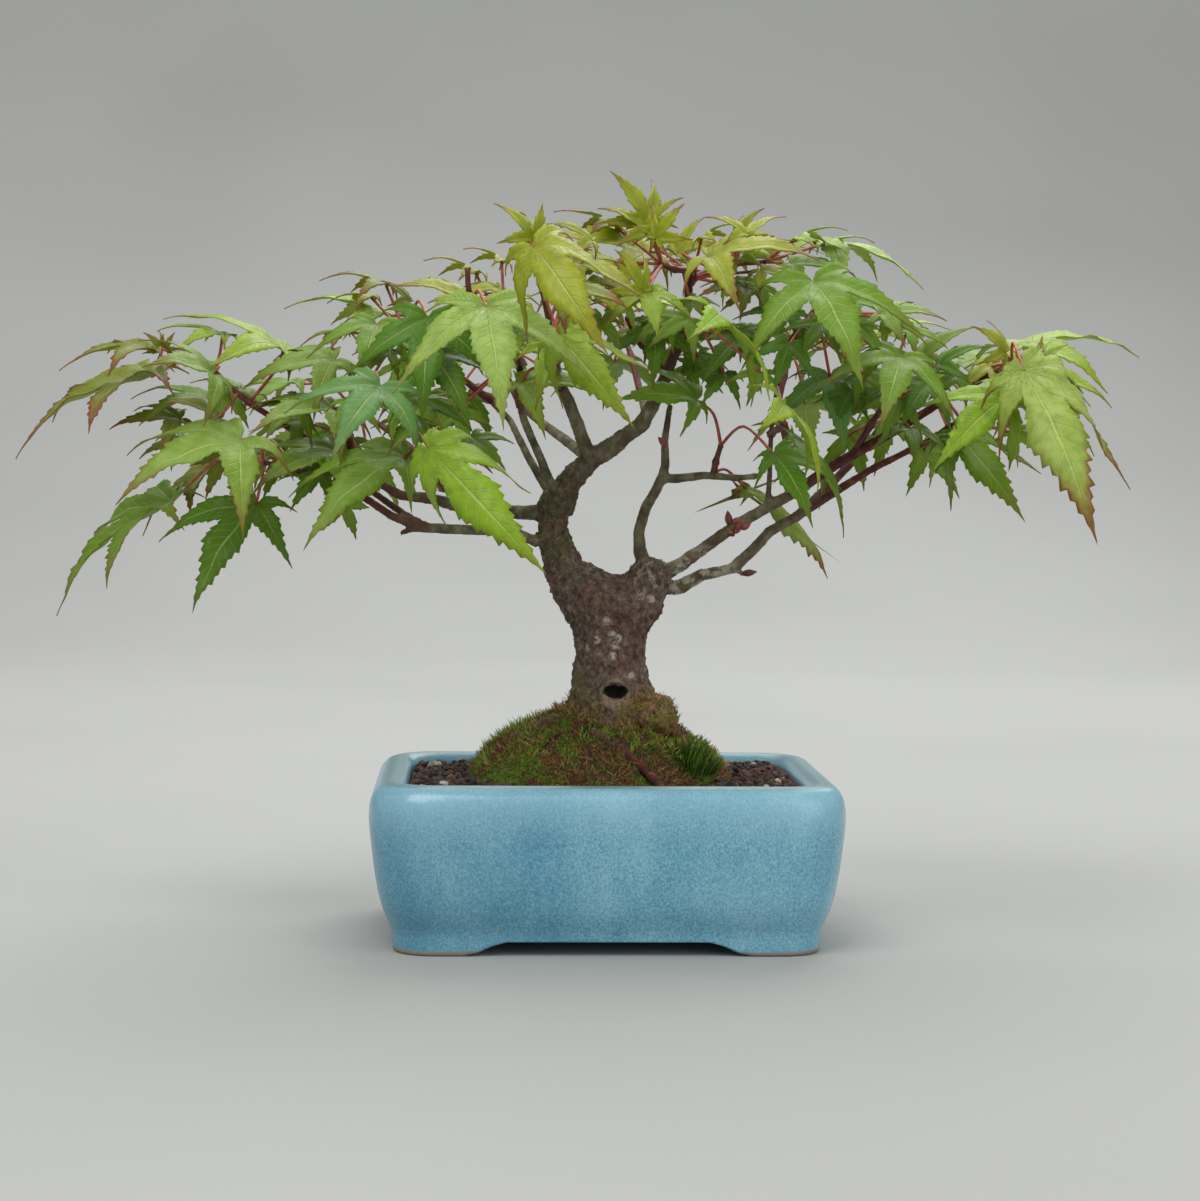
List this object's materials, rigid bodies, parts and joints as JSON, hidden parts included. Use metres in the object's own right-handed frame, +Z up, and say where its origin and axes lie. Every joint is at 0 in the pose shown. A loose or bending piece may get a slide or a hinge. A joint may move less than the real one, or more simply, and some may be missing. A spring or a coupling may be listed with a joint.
{
  "type": "bonsai tree in a pot",
  "caption": "Small maple bonsai in spring leaf on a mossy mound, planted in a rectangular blue-glazed pot with rounded corners, a rolled lip and corner feet.",
  "frame": {"origin": "under the middle of the whole part's bounding box, on the surface the pot stands on", "axes": "+X to the right and -Y towards the viewer as the tree is shown, +Z up"},
  "size_m": [0.2692, 0.1786, 0.1807],
  "materials": {
    "glaze": "glossy speckled light blue, paler on the lip and edges",
    "drain_mesh": "matte",
    "soil": "loose red-brown and dark grains with white pumice",
    "moss": "bright and dark green moss with dried brown patches",
    "bark": "grey-brown bark, redder on the thin branches",
    "foliage": "thin yellow-green blades with reddish tips, on red stems"
  },
  "bodies": {
    "root": {"pot": "glaze", "drain_mesh_left": "drain_mesh", "drain_mesh_right": "drain_mesh", "soil": "soil", "moss_mound": "moss", "tree": "bark", "spray_far_left": "foliage", "spray_left_low": "foliage", "spray_left_middle": "foliage", "spray_left_high": "foliage", "spray_front_left": "foliage", "spray_front_big": "foliage", "spray_front_high": "foliage", "spray_top_left": "foliage", "spray_top_right": "foliage", "spray_right_high": "foliage", "spray_inner_right": "foliage", "spray_middle_star": "foliage", "spray_right_star": "foliage", "spray_right_middle": "foliage", "spray_far_right": "foliage", "spray_right_low": "foliage", "spray_rear_left": "foliage", "spray_rear_middle": "foliage", "spray_rear_centre": "foliage", "spray_rear_top": "foliage", "spray_rear_right": "foliage", "spray_rear_far_right": "foliage"}
  },
  "joints": []
}
